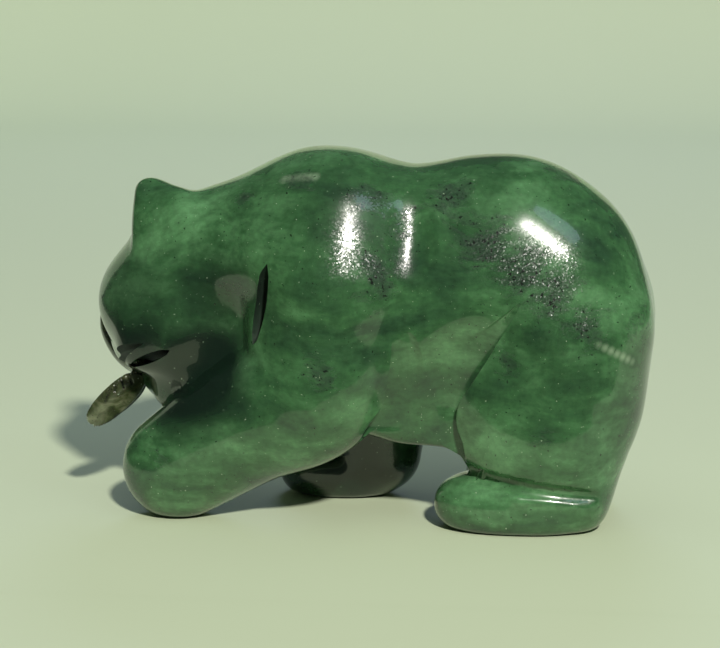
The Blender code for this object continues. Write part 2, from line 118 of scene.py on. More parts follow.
def ball(centre, radii, power=2.0, axes=None):
    return {"kind": "ball", "middle": np.array(centre, float), "reach": max(radii) * 1.2,
            "radii": np.array(radii, float), "power": power,
            "axes": np.array(axes if axes else Matrix.Identity(3), float)}


def smoothLine(stations, spacing=1.2):  # Catmull-Rom through (x, y, z, radius)
    stations = np.array(stations, float)
    known = np.vstack((2 * stations[0] - stations[1], stations, 2 * stations[-1] - stations[-2]))
    line = []
    for index in range(len(stations) - 1):
        before, start, end, after = known[index:index + 4]
        steps = max(3, round(np.linalg.norm(end[:3] - start[:3]) / spacing))
        for t in np.arange(steps) / steps:
            bend = 2 * before - 5 * start + 4 * end - after
            twist = 3 * start - before - 3 * end + after
            line.append(0.5 * (2 * start + (end - before) * t + bend * t ** 2 + twist * t ** 3))
    return np.array(line + [stations[-1]])


def limb(stations, flat=1.0, axes=None, spacing=1.2):
    line = smoothLine(stations, spacing)
    middle = line[:, :3].mean(axis=0)
    reach = np.max(np.linalg.norm(line[:, :3] - middle, axis=1) + line[:, 3])
    return {"kind": "limb", "middle": middle, "reach": reach, "stations": line, "flat": flat,
            "axes": np.array(axes if axes else Matrix.Identity(3), float)}


def ballDistance(points, mass):
    local = (points - mass["middle"]) @ mass["axes"].T
    power = mass["power"]
    ratio = np.abs(local / mass["radii"]) + 1e-9
    reach = np.sum(ratio ** power, axis=1) ** (1 / power)
    slope = np.linalg.norm(ratio ** (power - 1) / mass["radii"], axis=1) * reach ** (1 - power)
    return (reach - 1) / slope


def limbDistance(points, mass):  # least distance to a ball on the line, read off a parabola
    shrink = np.array([1.0, 1.0 / mass["flat"], 1.0])
    local = (points @ mass["axes"].T) * shrink
    stations = mass["stations"]
    places = (stations[:, :3] @ mass["axes"].T) * shrink
    reach = np.empty((len(stations), len(points)))
    for index, place in enumerate(places):
        away = local - place
        reach[index] = np.sqrt(np.einsum("ij,ij->i", away, away)) - stations[index, 3]
    everyone = np.arange(len(points))
    best = np.clip(np.argmin(reach, axis=0), 1, len(stations) - 2)
    before, here, after = (reach[best + step, everyone] for step in (-1, 0, 1))
    bend = np.maximum(before - 2 * here + after, 1e-9)
    shift = np.clip((before - after) / (2 * bend), -1, 1)
    distance = here + 0.5 * shift * (after - before) + 0.5 * shift * shift * bend
    nearest = places[best] + shift[:, None] * (places[best + 1] - places[best - 1]) / 2
    away = local - nearest
    steepness = np.linalg.norm(away * shrink, axis=1) / (np.linalg.norm(away, axis=1) + 1e-9)
    return distance / steepness


def groundDistance(points, mass):
    return points[:, 2] - mass["height"]


distances = {"ball": ballDistance, "limb": limbDistance, "ground": groundDistance}


nearEnough = 12.0  # mm, farther than this from a mass its exact distance doesn't matter


def distanceTo(points, mass):
    measure = distances[mass["kind"]]
    if "middle" not in mass:
        return measure(points, mass)
    away = np.linalg.norm(points - mass["middle"], axis=1) - mass["reach"]
    near = away < nearEnough
    distance = np.maximum(away, nearEnough)
    if near.any():
        distance[near] = measure(points[near], mass)
    return distance


def blendSize(points, blend):  # one number, or crisp to soft along a direction
    if np.isscalar(blend):
        return blend
    crisp, soft, direction, start, end = blend
    along = np.clip((points @ np.array(direction, float) - start) / (end - start), 0, 1)
    return crisp + (soft - crisp) * along * along * (3 - 2 * along)


def joined(first, second, soft):
    overlap = np.maximum(soft - np.abs(first - second), 0)
    return np.minimum(first, second) - overlap * overlap / (4 * soft)


def figureDistance(points, figure):
    total = None
    for action, mass, blend in figure:
        distance = distanceTo(points, mass)
        soft = blendSize(points, blend)
        if total is None:
            total = distance
        elif action == "add":
            total = joined(total, distance, soft)
        else:
            total = -joined(-total, distance, soft)
    return total


# The bear's masses, as in the CAD solid

headPose = {"centre": (-46.1, 3.0, 48.4), "yaw": 40.0, "pitch": 29.0, "roll": 15.0}


def headAxes():  # forward, left and up
    yaw, pitch, roll = (math.radians(headPose[k]) for k in ("yaw", "pitch", "roll"))
    forward = Vector((-math.cos(pitch) * math.cos(yaw), math.cos(pitch) * math.sin(yaw), -math.sin(pitch)))
    levelLeft = Vector((-math.sin(yaw), -math.cos(yaw), 0))
    left = levelLeft * math.cos(roll) + forward.cross(levelLeft) * math.sin(roll)
    return forward, left, forward.cross(left)


forwardWay, leftWay, upWay = headAxes()


def onHead(forward, left, up):
    return tuple(Vector(headPose["centre"]) + forwardWay * forward + leftWay * left + upWay * up)


def trunk():
    masses = [("add", ball((27, 0, 44), (35.9, 25, 39.2), 2.15), 0),
              ("add", ball((4, 0, 49), (34, 21.5, 31.6), 2.5), 3),
              ("add", ball((-9.5, 0, 52), (24.5, 24, 32.2), 2.2), (3, 5, (0, 0, 1), 60, 80)),
              ("cut", ball((10, 0, -4), (60, 40, 23.2), 2.6), 4)]
    for side in (-1, 1):
        flank = [(8, 34 * side, 12, 21), (18, 35.5 * side, 30, 19), (29, 39.5 * side, 47, 16.5)]
        masses.append(("cut", limb(flank), 2.5))
    return masses


def neck():
    throatHollow = [(-22.5, -27.5, 60, 6), (-27, -24.5, 52.5, 9), (-32, -23, 44, 10), (-38, -22, 36, 9)]
    return [("add", limb([(-14, 0, 60.2, 20), (-30, 1.5, 57.2, 19.3), (-39, 3, 54.8, 17.8)], 0.9), 8),
            ("add", limb([(-24, 0.5, 43, 16.5), (-38, 1, 38, 13)]), 6),
            ("add", ball((-38, 0.5, 40.5), (13.5, 14.5, 13.5), 2.6), 4),
            ("add", ball((-50, 0.5, 41), (8.5, 13, 8.5), 3), 3),
            ("add", ball((-44.5, -1, 29.5), (7, 7.5, 6.5), 2.4), 3),
            ("cut", limb(throatHollow), 4)]


def legs():
    shoulder = (1, 10, (0, 0, 1), 46, 60)
    hip = (0.8, 9, (1, 0, 1), 74, 88)
    heel = (1, 7, (1, 0, 0), 42, 54)
    nearFore = [(-10, -10.5, 52, 18.5), (-12.5, -12.6, 33, 17),
                (-28, -11.3, 23.2, 14.8), (-44.5, -9.3, 11.6, 12.7)]
    upperArm = [(-10, -13.4, 48, 13), (-9.5, -13.6, 39, 13), (-12, -13, 33, 12.5)]
    shoulderPlane = [(-7.3, -5.8, 67.6, 16), (-7.5, -11.6, 54.5, 16)]
    haunchPlane = [(31.9, -3.0, 63.8, 18), (40.1, -4.2, 58.3, 18)]
    footLedge = [(34.2, -18.3, 9.5, 2.5), (49, -15.8, 7.3, 2.5)]
    farFore = [(-6, 12, 48, 17.5), (-2, 12.5, 26, 14), (0, 10.8, 11, 10)]
    nearHind = [(46, -11, 46, 15), (37.5, -11.5, 27, 16.5), (40.2, -10.5, 12, 14.2)]
    thighFront = [(39, -12.5, 45, 12.5), (32.5, -12.3, 33, 13), (31, -11.8, 23, 11.5)]
    farHind = [(48, 11, 46, 14), (41, 11.5, 27, 15), (41, 11, 10, 13.5)]
    return [("add", limb(nearFore, 0.76), shoulder),
            ("add", ball((-4.5, -12, 35.5), (8.5, 11.4, 13), 2.4), shoulder),
            ("add", limb(upperArm), 3),
            ("add", limb(shoulderPlane), 3),
            ("add", limb(farFore, 0.78), shoulder),
            ("add", ball((-9.5, 12.5, 5.5), (14.2, 8, 7.6), 2.2), 2),
            ("add", limb(nearHind, 0.72), hip),
            ("add", limb(thighFront, 0.8), 4),
            ("add", ball((43, -9, 27), (16.8, 13, 20)), 7),
            ("add", limb(haunchPlane), 4),
            ("add", ball((33.3, -11.5, 5.6), (18.5, 9.6, 8), 2.4), heel),
            ("add", limb(footLedge), 2),
            ("add", limb(farHind, 0.72), hip),
            ("add", ball((43, 9, 31), (17.5, 13, 20)), 7),
            ("add", ball((37, 11.5, 5.6), (16.5, 9.2, 8), 2.4), heel)]


def head():
    return [("add", ball(onHead(0, 0, 0), (16.5, 16.5, 16.5)), 6),
            ("add", limb([(*onHead(-1, -3, -15), 7), (*onHead(11, 0, -15.4), 3.8)]), 3),
            ("add", ball(onHead(5, 3.5, 1), (12.5, 12.5, 12.5)), 3),
            ("add", ball(onHead(5, -3.5, 1), (12.5, 12.5, 12.5)), 3),
            ("add", limb([(*onHead(5, 0, -2), 11.5), (*onHead(14, 0, -4.5), 8.5)]), 3)]


def ear(side):
    root, tip = onHead(-6.8, side * 8, 8.2), onHead(-9.2, side * 10.6, 20.6)
    axes = (leftWay, forwardWay, upWay)
    return [("add", limb([(*root, 7.2), (*tip, 4.1)], 0.6, axes), 1.2),
            ("add", ball(onHead(-11, side * 8.2, 13.4), (5, 8, 8.6), 2, axes), 5),
            ("cut", ball(onHead(-5.4, side * 10.2, 18.6), (2.6, 1.2, 4), 2, axes), 0.8)]


def furrows():  # a straight stroke of the wheel behind the shoulder, and the crease over the near foot
    saddle = [(10.6, -19.4, 80.8, 7), (10.6, -23.7, 71.8, 7), (10.6, -28.0, 62.9, 7)]
    crease = [(22.4, -14.9, 14.2, 1.6), (29.5, -20.2, 12.8, 2.2),
              (40, -21.9, 11.1, 2.2), (51, -19.8, 9.6, 1.8)]
    return [("cut", limb(saddle), 1.0), ("cut", limb(crease), 0.4)]


def bearFigure():
    figure = trunk() + neck() + legs() + furrows() + head() + ear(1) + ear(-1)
    return figure + [("cut", {"kind": "ground", "height": 0.0}, 1.6)]


# The fish's masses

fishSpine = ((-56.6, 2.2, 29.6, 1.4), (-55.6, 6.6, 31.2, 2.5), (-58, 12.4, 30.9, 3.1),
             (-62.2, 16.6, 33.2, 3.5), (-64.9, 19, 38.2, 3.8), (-64.3, 20.5, 43.5, 3.7),
             (-62.2, 21.5, 47.8, 3.2), (-59.6, 22.3, 51.4, 2))
# middle, half length, thickness and height, long way, way it faces
fishFins = (((-60.4, -1.2, 25.0), (9.0, 1.2, 3.6), (-12.4, -3, -11.8), (0.35, -0.9, -0.2)),
            ((-59.2, 1.3, 24.8), (7, 1.1, 3), (-12, -1, -11.2), (0.45, -0.85, -0.2)),
            ((-64.2, 24.2, 40), (4.6, 0.6, 2.6), (0.6, 0.8, 3), (1, 0.3, 0)),
            ((-58.6, 15.5, 28), (2.8, 0.6, 1.8), (-1, 1.6, 0.2), (0.8, 0.5, 0.3)),
            ((-62.6, 17.6, 43), (2.4, 0.6, 1.5), (0.4, -1.4, -2), (1, 0.2, 0.1)))
# cut lines in the near tail lobe: how far along and up they start and end, in mm from its middle
tailRays = (((-0.9, 3.0), (1.9, 1.9)), ((-2.7, 3.0), (-1.4, 2.1)),
            ((-4.3, 2.8), (-3.2, 1.2)), ((-6.1, 2.2), (-5.4, 0.5)))


def onLobe(a, b):  # on the bulge of the near tail lobe, a along and b up from its middle
    middle, size, longWay, facing = fishFins[0]
    along, outward, up = axesTowards(longWay, facing)
    lift = size[1] * math.sqrt(max(0.05, 1 - (a / size[0]) ** 2 - (b / size[2]) ** 2))
    return Vector(middle) + along * a + outward * lift + up * b


def rayGroove(start, end, radius):
    places = [onLobe(*(start[k] + (end[k] - start[k]) * t for k in (0, 1))) for t in (0, 0.33, 0.67, 1)]
    return limb([(*place, radius) for place in places], spacing=0.3)


def fishFigure(rayRadius):
    figure = [("add", limb(fishSpine, 0.85, ((0, 1, 0), (1, 0, 0), (0, 0, 1))), 0)]
    for middle, size, longWay, facing in fishFins:
        figure.append(("add", ball(middle, size, 2.2, axesTowards(longWay, facing)), 0.7))
    return figure + [("cut", rayGroove(start, end, rayRadius), 0.12) for start, end in tailRays]


# From masses to a mesh

def roughBall(mesh, mass):
    for vert in bmesh.ops.create_icosphere(mesh, subdivisions=4, radius=1)["verts"]:
        way = np.array(vert.co)
        reach = np.sum(np.abs(way / mass["radii"]) ** mass["power"]) ** (1 / mass["power"])
        vert.co = Vector(mass["middle"] + (way / reach) @ mass["axes"])


def roughLimb(mesh, mass):
    turn = Matrix(mass["axes"].tolist()).transposed().to_4x4()
    for station in mass["stations"]:
        size = Matrix.Diagonal((station[3], station[3] * mass["flat"], station[3], 1))
        place = Matrix.Translation(Vector(station[:3])) @ turn @ size
        bmesh.ops.create_icosphere(mesh, subdivisions=3, radius=1, matrix=place)


def roughGround(mesh, mass):
    bmesh.ops.create_cube(mesh, size=200, matrix=Matrix.Translation((0, 0, mass["height"] - 100)))


roughShapes = {"ball": roughBall, "limb": roughLimb, "ground": roughGround}


def roughBody(name, figure, roughGrain, grain):
    mesh = bmesh.new()
    for action, mass, _ in figure:
        if action == "add":
            roughShapes[mass["kind"]](mesh, mass)
            continue
        body = meshObject(name, mesh)
        oneSkin(body, roughGrain)
        hollow = bmesh.new()
        roughShapes[mass["kind"]](hollow, mass)
        cutter = meshObject("hollow", hollow)
        if mass["kind"] == "limb":
            oneSkin(cutter, roughGrain)
        cutOut(body, cutter)
        mesh = bmesh.new()
        mesh.from_mesh(body.data)
        drop(body)
    body = meshObject(name, mesh)
    oneSkin(body, grain)
    return body


def slopeAt(points, figure, here):
    probe = 0.01
    slope = np.empty_like(points)
    for axis in range(3):
        aside = points.copy()
        aside[:, axis] += probe
        slope[:, axis] = (figureDistance(aside, figure) - here) / probe
    return slope


def settle(points, figure, rounds):  # moves points down the slope until they lie on the figure
    for _ in range(rounds):
        here = figureDistance(points, figure)
        slope = slopeAt(points, figure, here)
        step = slope * (here / np.maximum(np.sum(slope * slope, axis=1), 0.2))[:, None]
        length = np.linalg.norm(step, axis=1)
        points -= step * np.minimum(1, 1.5 / np.maximum(length, 1e-9))[:, None]
    return slope / np.maximum(np.linalg.norm(slope, axis=1), 1e-9)[:, None]


def evenOut(points, edges, normals):  # slides points along the surface towards their neighbours
    count = np.bincount(edges.ravel(), minlength=len(points)).astype(float)
    move = np.empty_like(points)
    for axis in range(3):
        total = np.bincount(edges[:, 0], points[edges[:, 1], axis], len(points))
        total += np.bincount(edges[:, 1], points[edges[:, 0], axis], len(points))
        move[:, axis] = total / count - points[:, axis]
    points += 0.5 * (move - normals * np.sum(move * normals, axis=1)[:, None])


def drawSurface(body, figure, rounds):
    data = body.data
    points = np.empty(len(data.vertices) * 3)
    data.vertices.foreach_get("co", points)
    points = points.reshape(-1, 3)
    ends = np.empty(len(data.edges) * 2, np.int32)
    data.edges.foreach_get("vertices", ends)
    normals = settle(points, figure, rounds[0])
    for _ in range(rounds[1]):
        evenOut(points, ends.reshape(-1, 2), normals)
        normals = settle(points, figure, 1)
    data.vertices.foreach_set("co", points.ravel())
    data.update()


# The bear

bearCarving = {
    "roughGrain": 1.5,                      # mm
    "grain": 0.62,   # mm between points of the finished skin
    "rounds": ((4, 3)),
    "soleShave": 0.1,                       # mm
    "mouthCorner": (1.5, 0, -13.5),         # these four are on the head
    "mouthFarCorner": (-1, 8, -13.5),
    "lip": (15.2, 0, -10.2),
    "jaw": (10.5, 0, -15),
    "mouthReach": 30.0,                     # mm, more than the muzzle is long or wide
    "crease": 50.0,                         # degrees, sharper edges than this stay sharp
}
# Cuts with a thin blade: middle, half length, depth and thickness, long way, way it goes in
blades = {
    "lip": ((-49.2, -9.8, 37.3), (6.8, 5, 1.4), (-8.2, 3.6, -3.9), (-0.5, -0.85, 0)),
    "cleft": ((-25.2, -24, 50.6), (12, 7, 2), (-5.6, 0, -19.4), (0.45, 1, 0)),
}


def flatSoles(bear):
    mesh = bmesh.new()
    mesh.from_mesh(bear.data)
    cut = bmesh.ops.bisect_plane(mesh, geom=mesh.verts[:] + mesh.edges[:] + mesh.faces[:],
                                 plane_co=(0, 0, bearCarving["soleShave"]), plane_no=(0, 0, 1),
                                 clear_inner=True)
    rim = [item for item in cut["geom_cut"] if isinstance(item, bmesh.types.BMEdge)]
    bmesh.ops.holes_fill(mesh, edges=rim, sides=0)
    mesh.to_mesh(bear.data)
    mesh.free()


def mouthCutter():  # a three-sided prism between the upper lip and the lower jaw
    corner, farCorner, lip, jaw = (Vector(onHead(*bearCarving[key]))
                                   for key in ("mouthCorner", "mouthFarCorner", "lip", "jaw"))
    across = (farCorner - corner).normalized()
    size = bearCarving["mouthReach"]
    ways = [way - corner for way in (lip, jaw)]
    ways = [(way - across * way.dot(across)).normalized() * size for way in ways]
    mesh = bmesh.new()
    ends = []
    for side in (-size / 2, size / 2):
        ends.append([mesh.verts.new(corner + way + across * side) for way in (Vector(), *ways)])
    for index in range(3):
        after = (index + 1) % 3
        mesh.faces.new((ends[0][index], ends[0][after], ends[1][after], ends[1][index]))
    mesh.faces.new(ends[0][::-1])
    mesh.faces.new(ends[1])
    bmesh.ops.recalc_face_normals(mesh, faces=mesh.faces[:])
    return meshObject("mouthCutter", mesh)


def bladeCutter(name):
    middle, size, longWay, inward = blades[name]
    mesh = bmesh.new()
    roughBall(mesh, ball(middle, size, 2, axesTowards(longWay, inward)))
    return meshObject(name + "Cutter", mesh)


# The grinder's hollows in the flank: rows of the wall's foot, the wall's depth and the place where
# the hollow runs out. Their walls are drawn out along way, so they hide behind their own edge.
flankHollows = {
    "thigh": (((34.6, -24.2, 55.0), -0.3, (33.8, -24.3, 54.4)),
              ((31.5, -23.0, 49.0), 0.6, (27.6, -22.5, 49.0)),
              ((28.9, -21.4, 44.6), 0.8, (23.0, -21.3, 46.2)),
              ((27.2, -20.2, 41.4), 0.9, (19.7, -20.5, 43.9)),
              ((24.9, -18.8, 37.5), 0.9, (17.0, -19.5, 40.9)),
              ((22.6, -17.5, 33.6), 0.9, (15.4, -18.1, 37.2)),
              ((21.1, -16.7, 31.1), 0.9, (14.3, -17.2, 34.3)),
              ((20.0, -16.1, 28.5), 0.9, (13.4, -16.5, 31.3)),
              ((19.7, -15.9, 26.0), 0.9, (12.8, -16.1, 28.3)),
              ((20.0, -15.6, 23.0), 0.9, (12.3, -15.8, 25.0)),
              ((21.0, -15.3, 20.5), 0.9, (12.0, -15.5, 21.5)),
              ((22.0, -15.0, 15.0), 0.9, (12.0, -15.0, 15.5))),
    "elbow": (((6.0, -22.6, 47.0), -0.3, (10.0, -22.7, 47.0)),
              ((5.8, -21.9, 43.3), 0.3, (11.5, -22.0, 43.5)),
              ((5.2, -21.2, 37.9), 1.0, (12.6, -19.4, 38.5)),
              ((3.7, -18.7, 30.4), 1.6, (12.3, -16.9, 31.5)),
              ((2.6, -17.7, 27.6), 1.8, (12.0, -16.2, 28.0)),
              ((-0.3, -16.2, 23.3), 1.5, (11.5, -15.5, 24.0)),
              ((-2.1, -16.9, 20.0), 1.5, (11.0, -15.0, 19.0))),
}
hollowShape = {
    "way": (0.104, -0.973, 0.208),
    "height": 45.0,      # mm, how far the walls are drawn out
    "bulge": 0.25,       # mm, how much the floor of the hollow sags
    "runOn": 0.7,        # share of the hollow's width that the sheet goes on past its end
    "lift": 2.5,         # mm, how far it rises out of the stone there
    "spacing": 0.8,      # mm
}


def evenly(line, count):  # the same line with this many points
    line = np.array(line, float)
    return np.array([np.interp(np.linspace(0, 1, count), np.linspace(0, 1, len(line)), line[:, k])
                     for k in range(3)]).T


def smoothSheet(lines):  # smooth curves through the points of each line, all with as many points
    spacing = hollowShape["spacing"]
    smooth = [smoothLine(np.hstack((line, np.ones((len(line), 1)))), spacing)[:, :3] for line in lines]
    count = max(len(line) for line in smooth)
    return np.array([evenly(line, count) for line in smooth])


def hollowCutter(name, rows):
    # a sheet from the wall's foot to beyond where it leaves the stone, drawn out to a block
    lines = []
    for foot, depth, end in rows:
        foot, end = np.array(foot, float), np.array(end, float)
        base = foot + (0, depth, 0)
        middle = (base + end) / 2 + (0, hollowShape["bulge"], 0)
        beyond = end + (end - foot) * hollowShape["runOn"] + (0, -hollowShape["lift"], 0)
        lines.append([base, middle, end, beyond])
    grid = smoothSheet(np.transpose(smoothSheet(lines), (1, 0, 2)))
    count, long = grid.shape[:2]
    draw = Vector(hollowShape["way"]) * hollowShape["height"]
    mesh = bmesh.new()
    sheet = [[mesh.verts.new(place) for place in column] for column in grid]
    outer = [[mesh.verts.new(v.co + draw) for v in column] for column in sheet]
    for i in range(count - 1):
        for j in range(long - 1):
            mesh.faces.new((sheet[i][j], sheet[i + 1][j], sheet[i + 1][j + 1], sheet[i][j + 1]))
            mesh.faces.new((outer[i][j], outer[i][j + 1], outer[i + 1][j + 1], outer[i + 1][j]))
    for j in range(long - 1):
        for i in (0, count - 1):
            mesh.faces.new((sheet[i][j], sheet[i][j + 1], outer[i][j + 1], outer[i][j]))
    for i in range(count - 1):
        for j in (0, long - 1):
            mesh.faces.new((sheet[i][j], sheet[i + 1][j], outer[i + 1][j], outer[i][j]))
    bmesh.ops.recalc_face_normals(mesh, faces=mesh.faces[:])
    if mesh.calc_volume(signed=True) < 0:
        bmesh.ops.reverse_faces(mesh, faces=mesh.faces[:])
    return meshObject(name + "Hollow", mesh)


bear = roughBody("jadeBear", bearFigure(), bearCarving["roughGrain"], bearCarving["grain"])
for name in ("nephriteJadeHandPolished", "nephriteJadeWheelCutMattPaintedShade"):
    bear.data.materials.append(bpy.data.materials.new(name))
drawSurface(bear, bearFigure(), bearCarving["rounds"])
flatSoles(bear)
# the faces cut here take the wheel-cut finish, darkened as painted shade
for cutter in (mouthCutter(), bladeCutter("lip"), bladeCutter("cleft")):
    cutOut(bear, cutter, wheelCutAndShade)
for name, rows in flankHollows.items():
    cutOut(bear, hollowCutter(name, rows))
print("stage: bear carved,", len(bear.data.polygons), "faces")


# The fish

fishCarving = {
    "roughGrain": 0.5,
    "grain": 0.22,
    "rounds": (3, 2),
    "clearance": 0.39,   # mm that the mouth is cut back from the fish, 0.3 once smoothed
    "rayRadius": 0.36,   # mm, the cut lines in the tail
}

fishMasses = fishFigure(fishCarving["rayRadius"])
fish = roughBody("jadeFish", fishMasses, fishCarving["roughGrain"], fishCarving["grain"])
fish.data.materials.append(bpy.data.materials.new("oliveJadeHandPolished"))
drawSurface(fish, fishMasses, fishCarving["rounds"])
gripCutter = fish.copy()
gripCutter.data = fish.data.copy()
bpy.context.scene.collection.objects.link(gripCutter)
keepModifier(gripCutter, "DISPLACE", strength=fishCarving["clearance"], mid_level=0.0)
cutOut(bear, gripCutter)
print("stage: fish carved,", len(fish.data.polygons), "faces")


# To metres, standing on Z = 0 in the middle of the CAD model's own box

corners = np.array([vert.co for thing in (bear, fish) for vert in thing.data.vertices])
low, high = corners.min(axis=0), corners.max(axis=0)
cadMiddle = (-(low[0] + high[0]) / 2, -(low[1] + high[1]) / 2, -low[2])
print("stage: shift to the CAD frame", [round(v, 3) for v in cadMiddle])
for thing in (bear, fish):
    thing.data.transform(Matrix.Scale(realUnit, 4) @ Matrix.Translation(cadMiddle))
    thing.data.shade_smooth()
    thing.data.set_sharp_from_angle(angle=math.radians(bearCarving["crease"]))


def inCad(place):  # a place among the masses, in mm, as metres in the CAD frame
    return tuple((p + m) * realUnit for p, m in zip(place, cadMiddle))


# Nephrite jade, ground and hand polished: a tough felted stone, deep green with soft paler
# clouds drawn out along the bed, smoky drifts full of black specks and a few pale pits. The polish
# mirrors the room sharply, and the felt under it breaks the light of the lamp into a fine glitter.

nephrite = {
    "deep": "#23402A", "body": "#365E39", "pale": "#558357",
    # the last colour on the next line is the painted shade, laid over the shaded zones listed below
    "smoke": "#24322A", "fleck": "#0B110C", "pit": "#9DB295", "paintedShade": "#0E1F15",
    "swirlSize": 24.0, "swirl": 14.0,                    # mm, and mm that the swirl pushes the bed
    "bedTilt": 24.0, "bedStretch": (0.5, 1.0, 1.3),      # degrees, and noise scales along X, Y and Z
    "cloudSize": 15.0, "wispSize": 3.6, "wispShare": 0.28,
    "tones": (0.36, 0.50, 0.65),                         # where deep, body and pale lie in the clouds
    "feltSize": 1.6, "felt": 0.26,                       # mm, and how far it lightens and darkens
    "tornSize": 2.6, "tear": (2.0, -1.3),                # mm, gain and lift of the noise that tears drifts
    "driftEdge": 0.6, "driftDepth": 0.72, "driftDulling": 0.12,
    "fleckSize": 0.75, "fleckLimit": 0.705, "driftFlecks": 0.115, "fleckEdge": 0.04,
    "pitSize": 0.5, "pitLimit": (0.755, 0.80),           # mm, the real flecks and pits are half that
    "glitterSize": 0.28,                                 # mm, fibres drawn coarse so that they show
    "glitter": 0.016, "driftGlitter": 0.26, "fieldGlitter": 0.55, "polishTip": 0.6,
    "roughness": 0.24, "polish": 0.7, "polishRoughness": 0.045,
    "ior": 1.62, "specular": 0.3,                        # nephrite 1.60 to 1.63, most of it in the polish
    "glow": 0.25, "glowDepth": 0.0012,                   # light goes a millimetre or so into the stone,
    "glowReach": (0.4, 1.0, 0.5),                        # and green light farthest
    # All places below are in mm in the CAD frame, with a reach in mm and a strength.
    # Smoky drifts of specks
    "drifts": (((21, -15, 76), 10, 1.0), ((27, -20, 69), 10, 1.0), ((35, -22, 63), 12, 1.0),
               ((42, -23, 57), 11, 1.0), ((50, -23, 50), 9, 0.7), ((10, -18, 71), 8, 0.6),
               ((3, -17, 75), 9, 0.8), ((5, -23, 61), 10, 0.85), ((-6, -25, 39), 8, 0.85),
               ((-44, -18, 16), 6, 0.7), ((61, -17, 50), 8, 0.75), ((42, -24, 26), 7, 0.5),
               ((33, -21, 41), 8, 0.6), ((44, -5, 80), 9, 0.9), ((-13, -14, 79), 7, 0.7),
               ((-24, -13, 74), 5, 0.7), ((58, -19, 62), 7, 0.5)),
    # Fields where the felt lies open in the polish and sparkles
    "fields": (((45, -23, 53), 21, 0.8), ((33, -22, 60), 13, 0.6), ((-6, -22, 62), 15, 0.6),
               ((10.6, -19, 66), 10, 0.3), ((-14, -14, 78), 6, 0.4), ((-28, -20, 51), 12, 0.5)),
    # Painted shade: the face, the throat, the neck and the far leg are darkened almost to black, and the
    # shoulder, back, haunch and rump a little
    "paintedShadeZones": (((-49, -9, 49), 26, 0.6), ((-50, -9, 38), 20, 1.2), ((-36, -14, 34), 21, 1.6),
               ((-32, -18, 50), 19, 0.75), ((-5, -16, 70), 24, 0.3), ((24, -14, 72), 26, 0.22),
               ((-5, 12, 10), 28, 1.5), ((44, -22, 46), 24, 0.2), ((61, -12, 34), 22, 0.45)),
    # Veins: both ends, width, strength and colour
    "veins": (((53.5, -23, 45.1), (61.2, -18.2, 40.4), 1.5, 0.5, "pit"),
              ((-16.5, -13, 79), (-9.5, -15, 79.6), 1.8, 0.45, "pit")),
}


def perMetre(size):  # noise scale for features of this many millimetres
    return 1 / (size * realUnit)


def zoneMask(tree, place, zones):  # strength in the middle of each zone, fading to 0 at its reach
    total = None
    for middle, reach, strength in zones:
        away = addNode(tree, "ShaderNodeVectorMath", {0: place, 1: [m * realUnit for m in middle]},
                       operation="DISTANCE")
        mask = addNode(tree, "ShaderNodeMapRange",
                       {"Value": away.outputs["Value"], "From Min": 0.0, "From Max": reach * realUnit,
                        "To Min": strength, "To Max": 0.0}, interpolation_type="SMOOTHSTEP")
        if total is not None:
            mask = addNode(tree, "ShaderNodeMath", {0: total, 1: mask}, operation="MAXIMUM")
        total = mask
    return total


def tinted(tree, under, amount, colour):  # so much of a colour laid over what is under it
    over = addNode(tree, "ShaderNodeMix", {"Factor": amount, 6: under, 7: toLinear(colour)},
                   data_type="RGBA")
    return over.outputs[2]


def stoneBed(tree, look):  # a slow swirl bends the bed, and the clouds lie along it
    place = addNode(tree, "ShaderNodeTexCoord").outputs["Object"]
    swirl = addNode(tree, "ShaderNodeTexNoise",
                    {"Vector": place, "Scale": perMetre(look["swirlSize"]), "Detail": 2.0})
    aside = addNode(tree, "ShaderNodeVectorMath", {0: swirl.outputs["Color"], 1: (0.5,) * 3},
                    operation="SUBTRACT")
    push = (look["swirl"] * realUnit,) * 3
    turned = addNode(tree, "ShaderNodeVectorMath", {0: aside, 1: push, 2: place}, operation="MULTIPLY_ADD")
    bed = addNode(tree, "ShaderNodeMapping", {"Vector": turned, "Scale": look["bedStretch"],
                                              "Rotation": (0, math.radians(look["bedTilt"]), 0)})
    return place, turned, bed


def smokyDrifts(tree, turned, bed, look):  # zones torn by a noise of their own
    torn = addNode(tree, "ShaderNodeTexNoise",
                   {"Vector": bed, "Scale": perMetre(look["tornSize"]), "Detail": 5.0, "Roughness": 0.65})
    gain, lift = look["tear"]
    ragged = addNode(tree, "ShaderNodeMath", {0: torn.outputs["Fac"], 1: gain, 2: lift},
                     operation="MULTIPLY_ADD")
    drift = zoneMask(tree, turned, look["drifts"])
    drifted = addNode(tree, "ShaderNodeMath", {0: drift, 1: ragged}, operation="ADD")
    smoke = addNode(tree, "ShaderNodeMapRange",
                    {"Value": drifted, "From Min": 0.0, "From Max": look["driftEdge"]})
    return smoke, torn


